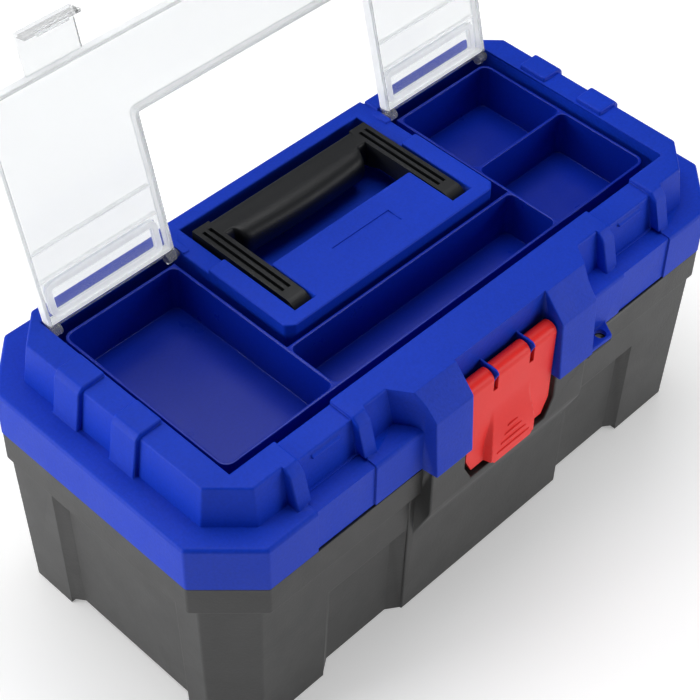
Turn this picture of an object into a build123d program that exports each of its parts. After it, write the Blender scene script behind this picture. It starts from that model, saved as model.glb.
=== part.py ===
from build123d import *
import math
import os

# Two-tone toolbox with an organiser let into its lid, closed on its feet, clear cover standing open.
# Millimetres. X runs along the box to its right end, Y to the back, Z up.
# The origin is on the floor, under the middle of the whole object.

# ---- driving dimensions ------------------------------------------------------------------
LENGTH = 400.0          # lid skirt, end to end
WIDTH = 200.0           # lid skirt, front to back
CORNER = 29.0           # leg of the cut-off corners
PARTING_Z = 129.0       # lower edge of the lid skirt
LEDGE_Z = 160.0         # top of the lid skirt
DECK_Z = 185.0          # top of the raised part of the lid
WALL = 2.6              # moulded wall thickness
GAP = 0.6               # standing gap between lid and base
RUN = 0.06              # radial play of a pin in a moving bore
PRESS = 0.0             # a pressed pin fills its hole exactly

# base
FOOT = 4.0              # how far the corner columns stand below the floor panel
RIM_Z = 108.4           # lower edge of the base's rim band
BODY_X = 192.6          # half length of the base at the floor
BODY_Y = 92.6           # half width of the base at the floor
BODY_CORNER = 20.5
CORNER_ROUND = 3.0
DRAFT = 1.6             # degrees, mould draft of the walls
PANEL_DEPTH = 4.8       # how far the wall panels lie behind the corner columns
PANEL_SLOPE = 7.0       # width of the slanted step beside a column
COLUMN_X = 127.0        # inner edge of the corner columns on the long walls
SIDE_FRONT = -57.0      # ends of the panel on the short walls
SIDE_BACK = 42.0
FRONT_PANEL_TOP = 77.0
BELLY_X = 66.5          # half width of the swelling in the front wall
BELLY_Y = 95.6
CHEEK_X = 62.0          # half width of the block around the latch's lower end
CHEEK_Y = 106.5
CHEEK_LOW = 95.0        # height where the block starts to run back into the belly
CHEEK_FOOT = 70.0
CHEEK_ROUND = 14.0
LATCH_BAY = 36.0        # half width of the pocket that the latch hangs in
LATCH_BAY_LOW = 99.4
LATCH_BAY_CORNER = 12.5 # height of the pocket's cut-off lower corners

# lid
RAISED_X = 184.5
RAISED_Y = 86.0
RAISED_CORNER = 19.5
RAISED_DRAFT = 8.0
LIP_DEPTH = 5.0
WELL_X = 165.6          # half length of the well for the organiser
WELL_FRONT = -67.5
WELL_BACK = 72.4
WELL_FLOOR = 148.2
WELL_WALL = 2.4
ISLAND_X = 79.4         # half width of the block between the arms of the well
ISLAND_FRONT = -19.3
ISLAND_STEP = 42.3      # behind this the block's top is lower
REAR_Z = 182.2
REAR_Y = 86.3
HOUSING_X = 62.5        # latch housing
HOUSING_Y = 109.8
HOUSING_LEAN = 2.6      # how far the housing's front leans back at its top
HOUSING_SLOPE_Y = 93.7
HOUSING_SLOPE_Z = 169.5
WINDOW_X = 34.8
WINDOW_Y = -92.6
PAD_RISE = 3.0          # straps on the short sides of the lid
PAD_SPANS = ((-21.5, -3.0), (21.0, 40.0))
STRIP_IN = 99.0         # lowered strips for the cover's snap tabs
STRIP_OUT = 136.0
STRIP_Z = 182.0
BUTTRESS = 9.0

# latch
ROD_Y = -99.2
ROD_Z = 163.5
ROD_R = 2.0
BARREL_R = 5.3
LATCH_X = 33.5
PLATE_Y = -104.5
PLATE_T = 2.6
PLATE_LOW = 103.0
FIN_X = 14.2
FIN_T = 1.6
FIN_R = 7.8
FIN_TOP = 6.5           # top edge of a fin above the rod's middle

# handle
PIVOT_Y = -2.0
PIVOT_Z = 176.0
ARM_END_R = 8.4
ARM_IN = 53.6
ARM_OUT = 65.4
GRIP_Y = 58.2
GRIP_Z = 173.6
GRIP_HALF_Y = 12.2
GRIP_HALF_Z = 10.4
GRIP_WELL_X = 67.5
GRIP_WELL_FRONT = -11.0
GRIP_WELL_BACK = 77.4
PLATEAU_X = 52.8
PLATEAU_BACK = 21.8
ARM_FLOOR = 166.0
GRIP_FLOOR = 158.0
HANDLE_PIN_R = 3.0

# clear cover
COVER_Y = 66.5
COVER_Z = 180.5
COVER_X = 164.5
COVER_IN = 81.5
COVER_T = 2.2
COVER_LOW = 182.4
COVER_FRONT = -65.0
COVER_STRIP = -20.8
COVER_OPEN = 104.0      # degrees that the cover stands open
TRUNNION_R = 2.2
KNUCKLE_R = 3.1

# organiser in the lid
BIN_X = 161.4
BIN_IN = 84.9
BIN_FRONT = -60.5
BIN_BACK = 62.4
BIN_STRIP = -23.2
BIN_TOP = 179.0
BIN_WALL = 1.8
BIN_DIVIDER = 1.0

# lift-out tray in the base
TRAY_X = 184.0
TRAY_Y = 74.0
TRAY_FLOOR = 74.0
TRAY_TOP = 125.0
TRAY_WALL = 2.2
TRAY_EAR_Z = 111.0

# rear hinges
HINGE_Y = 105.2
HINGE_Z = PARTING_Z
HINGE_R = 4.5
HINGE_PIN_R = 2.2
HINGE_X = 110.0
KNUCKLE_HALF = 11.4
LUG_T = 9.4

# padlock eye
EYE_X = 75.5
EYE_Y = -104.4
EYE_R = 3.2
EYE_T = 3.0


# ---- shapes used again and again ---------------------------------------------------------
def block(x0, x1, y0, y1, z0, z1):
    """A box between two corners."""
    return Pos((x0 + x1) / 2, (y0 + y1) / 2, (z0 + z1) / 2) * Box(x1 - x0, y1 - y0, z1 - z0)


def facing(points):
    """A polygon whose corners run anticlockwise, so that it is drawn out the right way."""
    turns = zip(points, points[1:] + points[:1])
    area = sum(a[0] * b[1] - b[0] * a[1] for a, b in turns)
    return Polygon(*(points if area > 0 else points[::-1]), align=None)


def outline(points, z, height, taper=0.0):
    """A flat outline at height z, drawn up by height."""
    return extrude(Pos(0, 0, z) * facing(points), amount=height, taper=taper)


def octagon(half_x, half_y, corner, z, height, taper=0.0):
    """A box with its four corners cut off."""
    points = [
        (half_x, -half_y + corner), (half_x, half_y - corner),
        (half_x - corner, half_y), (-half_x + corner, half_y),
        (-half_x, half_y - corner), (-half_x, -half_y + corner),
        (-half_x + corner, -half_y), (half_x - corner, -half_y),
    ]
    return outline(points, z, height, taper)


def along_x(points, x0, x1):
    """A (y, z) profile carried along X."""
    return extrude(Plane.YZ.offset(x0) * facing(points), amount=x1 - x0)


def along_y(points, y0, y1):
    """An (x, z) profile carried along Y."""
    return extrude(Plane.XZ.offset(-y1) * facing(points), amount=y1 - y0)


def rod(y, z, radius, x0, x1):
    """A round bar along X."""
    return Pos((x0 + x1) / 2, y, z) * Rot(0, 90, 0) * Cylinder(radius, x1 - x0)


def both_sides(solid):
    """The solid and its mirror image in the YZ plane."""
    return solid + mirror(solid, about=Plane.YZ)


def standing(shape):
    """Edges that run up the shape, drafted or not."""
    return shape.edges().filter_by(lambda e: abs((e @ 1 - e @ 0).normalized().Z) > 0.9)


def edges_at(shape, z, tolerance=0.05):
    """Edges that lie flat at one height."""
    return shape.edges().filter_by(lambda e: abs(e.bounding_box().min.Z - z) < tolerance
                                   and abs(e.bounding_box().max.Z - z) < tolerance)


# ---- base --------------------------------------------------------------------------------
def side_panel(inset):
    """The sunk panel in the right end wall, grown by inset."""
    deep = BODY_X - PANEL_DEPTH - inset
    out = BODY_X + 12.0
    grow = PANEL_SLOPE * (out - BODY_X) / PANEL_DEPTH
    front, back = SIDE_FRONT - inset, SIDE_BACK + inset
    points = [(deep, front + PANEL_SLOPE), (out, front - grow), (out, back + grow), (deep, back - PANEL_SLOPE)]
    return outline(points, 0.0, RIM_Z + inset, DRAFT)


def long_panel(inset, inner, side, top):
    """One sunk panel in a long wall, right of the middle; side is -1 at the front."""
    deep = BODY_Y - PANEL_DEPTH - inset
    out = BODY_Y + 12.0
    grow = PANEL_SLOPE * (out - BODY_Y) / PANEL_DEPTH
    near, far = inner - inset, COLUMN_X + inset
    points = [(near + PANEL_SLOPE, deep), (far - PANEL_SLOPE, deep), (far + grow, out), (near - grow, out)]
    points = [(x, side * y) for x, y in points]
    return outline(points, 0.0, top + inset, DRAFT)


def cheek(inset):
    """The block around the latch's lower end, its foot run back into the belly in a soft bend."""
    front = -CHEEK_Y + inset
    low = CHEEK_LOW + inset / 2
    foot = CHEEK_FOOT + inset / 2
    profile = [
        (front, PARTING_Z + 10.0), (front, low), (-BELLY_Y + inset, foot),
        (-BODY_Y + 10.0, CHEEK_FOOT), (-BODY_Y + 10.0, PARTING_Z + 10.0),
    ]
    body = along_x(profile, -CHEEK_X + inset, CHEEK_X - inset)
    body = fillet(edges_at(body, low), CHEEK_ROUND)
    return body - latch_pocket(inset)


def latch_pocket(grow):
    """The pocket that the latch's lower end hangs in, grown by grow."""
    half = LATCH_BAY + grow
    low = LATCH_BAY_LOW - grow
    corner = low + LATCH_BAY_CORNER
    inner = half - LATCH_BAY_CORNER / 2
    points = [(half, PARTING_Z + 30.0), (half, corner), (inner, low), (-inner, low), (-half, corner),
              (-half, PARTING_Z + 30.0)]
    return along_y(points, -WIDTH, -BELLY_Y + grow)


def base_form(inset, low, high):
    """The body of the base between two heights, its walls moved inwards by inset."""
    spread = math.tan(math.radians(DRAFT)) * low
    body = octagon(BODY_X - inset + spread, BODY_Y - inset + spread, BODY_CORNER - 0.4 * inset, low, high - low, -DRAFT)
    body = fillet(standing(body), CORNER_ROUND)
    belly = along_x(
        [(-BODY_Y + 10.0, low), (-BELLY_Y + 1.6 + inset, low), (-BELLY_Y + inset, CHEEK_FOOT),
         (-BELLY_Y + inset, high), (-BODY_Y + 10.0, high)], -BELLY_X + inset, BELLY_X - inset)
    body = body - both_sides(side_panel(inset))
    body = body - both_sides(long_panel(inset, BELLY_X, -1, FRONT_PANEL_TOP))
    body = body - both_sides(long_panel(inset, 12.0, 1, FRONT_PANEL_TOP))
    body = body + belly
    return body + (cheek(inset) & block(-LENGTH, LENGTH, -WIDTH, WIDTH, low, high))


def base_shell():
    rim_top = PARTING_Z - GAP
    outer = base_form(0.0, 0.0, RIM_Z + 2.0)
    outer = outer - block(-COLUMN_X, COLUMN_X, -WIDTH, WIDTH, -1.0, FOOT)
    outer = outer - block(-LENGTH, LENGTH, SIDE_FRONT, SIDE_BACK, -1.0, FOOT)
    rim = octagon(LENGTH / 2 - 0.3, WIDTH / 2 - 0.3, CORNER, RIM_Z, rim_top - RIM_Z)
    rim = fillet(edges_at(fillet(standing(rim), CORNER_ROUND), RIM_Z), 1.2)
    front = cheek(0.0) & block(-LENGTH, LENGTH, -WIDTH, WIDTH, 0.0, rim_top)
    shell = outer + rim + front - latch_pocket(0.0)
    floor = FOOT + WALL
    cavity = base_form(WALL, floor, RIM_Z + WALL)
    rim_cavity = octagon(LENGTH / 2 - 0.3 - WALL, WIDTH / 2 - 0.3 - WALL, CORNER - 1.1, RIM_Z + WALL, 40.0)
    rim_cavity = rim_cavity - block(-BELLY_X, BELLY_X, -WIDTH, -BELLY_Y + WALL, 0.0, PARTING_Z + 30.0)
    shell = shell - cavity - rim_cavity
    shell = shell - (cheek(WALL) & block(-LENGTH, LENGTH, -WIDTH, WIDTH, floor, rim_top + 5.0))
    catch = along_x([(-BELLY_Y + 1.0, 107.6), (-BELLY_Y - 3.0, 108.4), (-BELLY_Y - 3.0, 110.0),
                     (-BELLY_Y + 1.0, 114.0)], -20.0, 20.0)
    lugs = hinge_lugs()
    eye = padlock_eye(PARTING_Z - GAP - EYE_T)
    return shell + catch + lugs + eye


def hinge_lugs():
    """Four ears on the rear of the rim band, bored for the hinge pins."""
    profile = [(WIDTH / 2 - 1.5, RIM_Z), (WIDTH / 2 + 2.0, RIM_Z), (HINGE_Y + HINGE_R, RIM_Z + 10.0),
               (HINGE_Y + HINGE_R, HINGE_Z), (WIDTH / 2 + GAP, HINGE_Z),
               (WIDTH / 2 + GAP, PARTING_Z - GAP), (WIDTH / 2 - 1.5, PARTING_Z - GAP)]
    ears = []
    for start in (HINGE_X - KNUCKLE_HALF - GAP - LUG_T, HINGE_X + KNUCKLE_HALF + GAP):
        ear = along_x(profile, start, start + LUG_T) + rod(HINGE_Y, HINGE_Z, HINGE_R, start, start + LUG_T)
        ears.append(ear - rod(HINGE_Y, HINGE_Z, HINGE_PIN_R + PRESS, start - 1.0, start + LUG_T + 1.0))
    return both_sides(ears[0] + ears[1])


def padlock_eye(z):
    """The flat ear for a padlock, right of the latch housing."""
    points = [(CHEEK_X - 1.0, -95.0), (CHEEK_X - 1.0, -109.0), (80.0, -109.6), (86.0, -99.0), (86.0, -95.0)]
    return outline(points, z, EYE_T) - Pos(EYE_X, EYE_Y, z + EYE_T / 2) * Cylinder(EYE_R, 3 * EYE_T)


# ---- lid ---------------------------------------------------------------------------------
def well(grow, low, high):
    """The U-shaped well for the organiser, grown by grow on every side."""
    arm = block(ISLAND_X - grow, WELL_X + grow, WELL_FRONT - grow, WELL_BACK + grow, low, high)
    strip = block(-WELL_X - grow, WELL_X + grow, WELL_FRONT - grow, ISLAND_FRONT + grow, low, high)
    return both_sides(arm) + strip


def grip_well(grow, drop, high):
    """The U-shaped well for the folded handle and the fingers."""
    arms = block(PLATEAU_X - grow, GRIP_WELL_X + grow, GRIP_WELL_FRONT - grow, PLATEAU_BACK + 1.0,
                 ARM_FLOOR - drop, high)
    grip = block(-GRIP_WELL_X - grow, GRIP_WELL_X + grow, PLATEAU_BACK - grow, GRIP_WELL_BACK + grow,
                 GRIP_FLOOR - drop, high)
    return both_sides(arms) + grip


def housing(inset, low):
    """The latch housing: a block in front of the lid with a slanted top."""
    plan = [(74.0, -70.0), (74.0, -82.0), (66.0, -94.0), (HOUSING_X + 1.0, -100.0), (HOUSING_X, -HOUSING_Y)]
    grown = [(x - inset, y + inset) for x, y in plan]
    points = grown + [(-x, y) for x, y in reversed(grown)]
    slope = [(-HOUSING_SLOPE_Y + inset, DECK_Z - inset), (-HOUSING_Y + HOUSING_LEAN + inset, HOUSING_SLOPE_Z - inset),
             (-HOUSING_Y + inset, PARTING_Z), (-HOUSING_Y - 20.0, PARTING_Z), (-HOUSING_Y - 20.0, DECK_Z + 20.0),
             (-HOUSING_SLOPE_Y + inset, DECK_Z + 20.0)]
    return outline(points, low, DECK_Z - inset - low) - along_x(slope, -100.0, 100.0)


def strap(span):
    """A raised strap over the right edge of the deck, down to the ledge."""
    profile = [(WELL_X + 1.0, DECK_Z - 1.0), (WELL_X + 1.0, DECK_Z + PAD_RISE), (180.5, DECK_Z + PAD_RISE),
               (183.8, DECK_Z - 0.5), (RAISED_X + 3.2, LEDGE_Z - 1.0), (RAISED_X - 8.0, LEDGE_Z - 1.0),
               (RAISED_X - 8.0, DECK_Z - 1.0)]
    return along_y(profile, *span)


def buttress(x0):
    """A rib down the front of the raised part, beside a snap-tab bay."""
    profile = [(-70.0, DECK_Z), (-83.5, DECK_Z), (-88.0, DECK_Z - 5.0), (-93.5, LEDGE_Z - 1.0), (-80.0, LEDGE_Z - 1.0),
               (-70.0, DECK_Z - 8.0)]
    return along_x(profile, x0, x0 + BUTTRESS)


def lid_shell():
    skirt = octagon(LENGTH / 2, WIDTH / 2, CORNER, PARTING_Z, LEDGE_Z - PARTING_Z)
    skirt = fillet(standing(skirt), CORNER_ROUND)
    skirt = fillet(edges_at(skirt, LEDGE_Z), 2.5)
    raised = octagon(RAISED_X, RAISED_Y, RAISED_CORNER, LEDGE_Z - 1.0, DECK_Z - LEDGE_Z + 1.0, RAISED_DRAFT)
    raised = fillet(edges_at(fillet(standing(raised), 2.0), DECK_Z), 1.6)
    rear = along_x([(ISLAND_STEP, REAR_Z), (REAR_Y, REAR_Z), (REAR_Y + 1.7, LEDGE_Z), (ISLAND_STEP, LEDGE_Z)],
                   -ISLAND_X, ISLAND_X)
    shell = skirt + raised + rear + housing(0.0, PARTING_Z)
    shell = shell + both_sides(strap(PAD_SPANS[0]) + strap(PAD_SPANS[1]))
    shell = shell + both_sides(buttress(STRIP_IN - BUTTRESS) + buttress(STRIP_OUT))
    shell = shell - both_sides(block(STRIP_IN - 1.5, STRIP_OUT + 2.0, -WIDTH, -WIDTH / 2 + 1.2, 0.0, DECK_Z))
    shell = shell - both_sides(block(STRIP_IN - 1.5, STRIP_OUT + 2.0, -WIDTH, -87.4, LEDGE_Z - 1.0, LEDGE_Z + 1.0))
    nub = along_x([(-82.0, 180.0), (-85.0, 178.6), (-85.0, 177.6), (-82.0, 176.0)], 108.0, 127.0)
    shell = shell + both_sides(nub)

    skirt_room = octagon(LENGTH / 2 - WALL, WIDTH / 2 - WALL, CORNER - 1.1, PARTING_Z - 1.0,
                         LEDGE_Z - WALL - PARTING_Z + 1.0)
    raised_room = octagon(RAISED_X - WALL, RAISED_Y - WALL, RAISED_CORNER - 1.1, LEDGE_Z - WALL - 1.0,
                          DECK_Z - LEDGE_Z + 1.0 - 1.0, RAISED_DRAFT)
    raised_room = raised_room - both_sides(block(STRIP_IN - WALL, STRIP_OUT + WALL, -100.0, -60.0, STRIP_Z - WALL, 200.0))
    rear_top = block(-ISLAND_X - WALL, ISLAND_X + WALL, ISLAND_STEP - WALL, WIDTH, REAR_Z - WALL, DECK_Z + 10.0)
    rear_room = along_x([(ISLAND_STEP, LEDGE_Z - WALL - 1.0), (REAR_Y + 1.7 - WALL, LEDGE_Z - WALL - 1.0),
                         (REAR_Y - WALL, REAR_Z - WALL), (ISLAND_STEP, REAR_Z - WALL)],
                        -ISLAND_X + WALL, ISLAND_X - WALL)
    raised_room = (raised_room - rear_top) + rear_room
    housing_room = housing(WALL, PARTING_Z - 1.0)
    window_wall = block(-WINDOW_X - WALL, WINDOW_X + WALL, -200.0, WINDOW_Y + WALL, 0.0, 300.0)
    room = (skirt_room + raised_room + housing_room) - window_wall
    shell = shell - room
    shell = shell + (well(WELL_WALL, WELL_FLOOR - WELL_WALL, DECK_Z - 1.0) - grip_well(0.0, 0.0, DECK_Z + 1.0))
    shell = shell + (grip_well(WELL_WALL, WELL_WALL, DECK_Z - 1.0) - well(0.0, WELL_FLOOR, DECK_Z + 10.0))
    shell = shell - well(0.0, WELL_FLOOR, DECK_Z + 10.0)
    shell = shell - grip_well(0.0, 0.0, DECK_Z + 10.0)
    shell = shell - both_sides(block(STRIP_IN, STRIP_OUT, -84.5, WELL_FRONT + 1.0, STRIP_Z, DECK_Z + 5.0))
    island_cut = [(ISLAND_X + 1.0, ISLAND_FRONT - 1.0), (ISLAND_X + 1.0, ISLAND_FRONT + 4.6),
                  (ISLAND_X - 5.6, ISLAND_FRONT - 1.0)]
    shell = shell - both_sides(outline(island_cut, DECK_Z - 20.0, 30.0))
    shell = shell - block(-ISLAND_X, ISLAND_X, ISLAND_STEP, WIDTH, REAR_Z, DECK_Z + 10.0)
    shell = shell - block(-WINDOW_X, WINDOW_X, -WIDTH, WINDOW_Y, 0.0, 300.0)

    for sign in (-1, 1):
        fin = along_x([(WINDOW_Y + 1.0, ROD_Z + FIN_TOP), (ROD_Y - FIN_R, ROD_Z + FIN_TOP),
                       (ROD_Y - BARREL_R, ROD_Z + FIN_TOP - 5.0), (ROD_Y - ROD_R - 1.6, ROD_Z - 3.6),
                       (WINDOW_Y + 1.0, ROD_Z - 14.0)],
                      sign * FIN_X - FIN_T / 2, sign * FIN_X + FIN_T / 2)
        fin = fin & (rod(ROD_Y, ROD_Z, FIN_R, -50.0, 50.0) + block(-50.0, 50.0, ROD_Y, WINDOW_Y + 2.0, 0.0, 300.0))
        shell = shell + fin
    shell = shell - rod(ROD_Y, ROD_Z, ROD_R, -WINDOW_X - WALL, WINDOW_X + WALL)

    lip = octagon(LENGTH / 2 - WALL - 1.0, WIDTH / 2 - WALL - 1.0, CORNER - 1.5, PARTING_Z - LIP_DEPTH, LIP_DEPTH + 6.0)
    lip = lip - octagon(LENGTH / 2 - WALL - 3.0, WIDTH / 2 - WALL - 3.0, CORNER - 2.4, 100.0, 60.0)
    lip_web = octagon(LENGTH / 2 - 1.0, WIDTH / 2 - 1.0, CORNER, PARTING_Z + 3.0, 3.0)
    lip_web = lip_web - octagon(LENGTH / 2 - WALL - 3.0, WIDTH / 2 - WALL - 3.0, CORNER - 2.4, 100.0, 60.0)
    lip = (lip + lip_web) - block(-90.0, 90.0, -WIDTH, -80.0, 0.0, 200.0)
    lip = lip - both_sides(block(STRIP_IN - 3.0, STRIP_OUT + 4.0, -WIDTH, -80.0, PARTING_Z, 200.0))
    lip = lip - both_sides(block(STRIP_IN - 3.0, STRIP_OUT + 4.0, -WIDTH, -80.0, 0.0, 200.0))
    shell = shell + lip

    knuckle = rod(HINGE_Y, HINGE_Z, HINGE_R, HINGE_X - KNUCKLE_HALF, HINGE_X + KNUCKLE_HALF)
    knuckle = knuckle + along_x([(98.5, PARTING_Z), (HINGE_Y, PARTING_Z), (HINGE_Y, PARTING_Z + HINGE_R),
                                 (98.5, PARTING_Z + 14.0)], HINGE_X - KNUCKLE_HALF, HINGE_X + KNUCKLE_HALF)
    knuckle = knuckle - rod(HINGE_Y, HINGE_Z, HINGE_PIN_R + RUN, 0.0, 200.0)
    shell = shell + both_sides(knuckle) + padlock_eye(PARTING_Z)

    bearing = block(75.0, ISLAND_X, 61.0, 72.0, COVER_Z - 7.0, COVER_Z + KNUCKLE_R)
    shell = shell + both_sides(bearing)
    shell = shell - both_sides(rod(COVER_Y, COVER_Z, TRUNNION_R + RUN, 77.6, 90.0))
    shell = shell - both_sides(rod(COVER_Y, COVER_Z, TRUNNION_R + RUN, 160.0, WELL_X + WELL_WALL + 0.6))
    shell = shell - both_sides(rod(PIVOT_Y, PIVOT_Z, HANDLE_PIN_R + PRESS, PLATEAU_X - WELL_WALL, GRIP_WELL_X + WELL_WALL))
    label = block(-21.4, 21.4, -2.0, 8.2, DECK_Z - 0.8, DECK_Z + 1.0)
    return shell - label


# ---- what the lid carries ----------------------------------------------------------------
def organiser():
    """One U-shaped bin with four compartments."""
    low = WELL_FLOOR
    arm = block(BIN_IN, BIN_X, BIN_FRONT, BIN_BACK, low, BIN_TOP)
    body = both_sides(arm) + block(-BIN_X, BIN_X, BIN_FRONT, BIN_STRIP, low, BIN_TOP)
    body = fillet(standing(body).filter_by(lambda e: abs(e.center().X) > BIN_IN + 5.0), 6.0)
    floor = low + BIN_WALL
    w = BIN_WALL
    rooms = [
        block(-BIN_X + w, -BIN_IN - w, BIN_FRONT + w, BIN_BACK - w, floor, BIN_TOP + 5.0),
        block(-BIN_IN, BIN_IN, BIN_FRONT + w, BIN_STRIP - w, floor, BIN_TOP + 5.0),
        block(BIN_IN + w, BIN_X - w, BIN_DIVIDER + w / 2, BIN_BACK - w, floor, BIN_TOP + 5.0),
        block(BIN_IN + w, BIN_X - w, BIN_FRONT + w, BIN_DIVIDER - w / 2, floor, BIN_TOP + 5.0),
    ]
    for room in rooms:
        body = body - fillet(standing(room), 4.4)
    return body


def latch():
    """The over-the-front latch: a rolled top, a plate and a raised thumb pad."""
    plate = block(-LATCH_X, LATCH_X, PLATE_Y, PLATE_Y + PLATE_T, PLATE_LOW, ROD_Z)
    corner = [(LATCH_X + 1.0, PLATE_LOW - 1.0), (LATCH_X + 1.0, PLATE_LOW + 12.0), (LATCH_X - 5.0, PLATE_LOW - 1.0)]
    plate = plate - both_sides(along_y(corner, PLATE_Y - 5.0, PLATE_Y + 5.0))
    pad = along_x([(PLATE_Y + 0.5, 140.0), (PLATE_Y - 3.0, 126.0), (PLATE_Y - 4.6, 112.0), (PLATE_Y - 5.0, 100.8),
                   (PLATE_Y - 2.4, 100.8), (PLATE_Y + 0.5, PLATE_LOW)], -17.5, 17.5)
    body = plate + pad + rod(ROD_Y, ROD_Z, BARREL_R, -LATCH_X, LATCH_X)
    hook = along_x([(PLATE_Y + PLATE_T - 0.5, 103.4), (-99.0, 104.2), (-99.0, 106.0), (PLATE_Y + PLATE_T - 0.5, 107.6)],
                   -18.0, 18.0)
    body = body + hook
    body = body - rod(ROD_Y, ROD_Z, ROD_R + RUN, -50.0, 50.0)
    slot_half = FIN_T / 2 + 0.9
    for sign in (-1, 1):
        body = body - rod(ROD_Y, ROD_Z, FIN_R + 0.6, sign * FIN_X - slot_half, sign * FIN_X + slot_half)
    return body


def handle():
    """The folding carrying handle: two arms and an oval grip."""
    arm_top = PIVOT_Z + ARM_END_R
    arm = block(ARM_IN, ARM_OUT, PIVOT_Y, GRIP_Y, arm_top - 13.0, arm_top)
    arm = arm + rod(PIVOT_Y, PIVOT_Z, ARM_END_R, ARM_IN, ARM_OUT)
    section = Plane.YZ.offset(-ARM_OUT) * Pos(GRIP_Y, GRIP_Z) * Ellipse(GRIP_HALF_Y, GRIP_HALF_Z)
    grip = extrude(section, amount=2 * ARM_OUT)
    ledge = block(-ARM_OUT, ARM_OUT, GRIP_Y, GRIP_Y + GRIP_HALF_Y - 0.6, GRIP_Z + 2.0, arm_top)
    body = both_sides(arm) + grip + ledge
    for groove in (ARM_IN + 2.8, ARM_OUT - 5.0):
        body = body - both_sides(block(groove, groove + 2.2, PIVOT_Y, GRIP_Y - 2.0, arm_top - 2.4, arm_top + 5.0))
    return body - rod(PIVOT_Y, PIVOT_Z, HANDLE_PIN_R + RUN, -80.0, 80.0)


def cover_closed():
    """The clear cover as it lies shut over the organiser."""
    top = COVER_LOW + COVER_T
    leg = block(COVER_IN, COVER_X, COVER_FRONT, COVER_Y, COVER_LOW, top)
    plate = both_sides(leg) + block(-COVER_X, COVER_X, COVER_FRONT, COVER_STRIP, COVER_LOW, top)
    outer_flange = block(COVER_X - 1.5, COVER_X, COVER_FRONT, COVER_Y - 4.0, COVER_LOW - 4.0, top)
    inner_flange = block(COVER_IN, COVER_IN + 1.5, COVER_STRIP, COVER_Y - 4.0, COVER_LOW - 4.0, top)
    front_flange = block(-COVER_X, COVER_X, COVER_FRONT, COVER_FRONT + 1.5, COVER_LOW - 4.0, top)
    strip_flange = block(-COVER_IN - 1.5, COVER_IN + 1.5, COVER_STRIP - 1.4, COVER_STRIP, COVER_LOW - 4.0, top)
    tab = block(STRIP_IN + 1.5, STRIP_OUT - 1.5, -88.4, COVER_FRONT, COVER_LOW, top)
    tab = tab + block(STRIP_IN + 1.5, STRIP_OUT - 1.5, -88.4, -86.6, 174.6, top)
    tab = tab + block(STRIP_IN + 9.0, STRIP_OUT - 9.0, -88.4, -85.5, 174.6, 176.4)
    knuckles = rod(COVER_Y, COVER_Z, KNUCKLE_R, COVER_IN, COVER_IN + 6.0)
    knuckles = knuckles + rod(COVER_Y, COVER_Z, KNUCKLE_R, COVER_X - 6.0, COVER_X)
    trunnions = rod(COVER_Y, COVER_Z, TRUNNION_R, 78.2, COVER_IN + 3.0)
    trunnions = trunnions + rod(COVER_Y, COVER_Z, TRUNNION_R, COVER_X - 3.0, WELL_X + WELL_WALL)
    rib = block(COVER_IN + 3.0, COVER_X - 3.0, 21.0, 22.2, COVER_LOW - 1.2, COVER_LOW + 0.2)
    frame = block(COVER_IN + 6.0, COVER_X - 6.0, 41.5, 61.5, COVER_LOW - 1.2, COVER_LOW + 0.2)
    frame = frame - block(COVER_IN + 7.4, COVER_X - 7.4, 42.9, 60.1, COVER_LOW - 2.0, COVER_LOW)
    moving = both_sides(outer_flange + inner_flange + tab + knuckles + trunnions + rib + frame)
    return plate + front_flange + strip_flange + moving


def cover():
    """The clear cover, turned open about its hinge."""
    hinge = Axis((0, COVER_Y, COVER_Z), (1, 0, 0))
    return cover_closed().rotate(hinge, -COVER_OPEN)


def inner_tray():
    """The lift-out tray: an open bin that hangs by its end ears on the step inside the rim."""
    body = octagon(TRAY_X, TRAY_Y, 12.0, TRAY_FLOOR, TRAY_TOP - TRAY_FLOOR)
    ears = octagon(TRAY_X + 11.0, TRAY_Y, 12.0, TRAY_EAR_Z, TRAY_WALL)
    body = body + ears
    w = TRAY_WALL
    wide = block(-TRAY_X + w, TRAY_X - w, -TRAY_Y + w, -8.0, TRAY_FLOOR + w, TRAY_TOP + 5.0)
    rear = [block(x0, x1, 8.0, TRAY_Y - w, TRAY_FLOOR + w, TRAY_TOP + 5.0)
            for x0, x1 in ((-TRAY_X + w, -62.0), (-62.0 + w, 62.0 - w), (62.0, TRAY_X - w))]
    limits = octagon(TRAY_X - w, TRAY_Y - w, 11.0, TRAY_FLOOR + w, TRAY_TOP)
    for room in [wide] + rear:
        body = body - (room & limits)
    spine = block(-TRAY_X + w, TRAY_X - w, -8.0 + w, 8.0 - w, TRAY_FLOOR - 1.0, TRAY_TOP - w)
    body = body - (spine & limits)
    bridge = block(-55.0, 55.0, -8.0, 8.0, TRAY_TOP - w, 142.0)
    bridge = bridge - block(-46.0, 46.0, -20.0, 20.0, TRAY_TOP + 0.5 - w, 135.0)
    return body + bridge


def pin(y, z, radius, x0, x1):
    """A plain steel pin with its ends eased."""
    bar = rod(y, z, radius, x0, x1)
    return chamfer(bar.edges().filter_by(GeomType.CIRCLE), 0.4)


def save(name, shape):
    export_step(shape, "parts/" + name + ".step")


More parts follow.
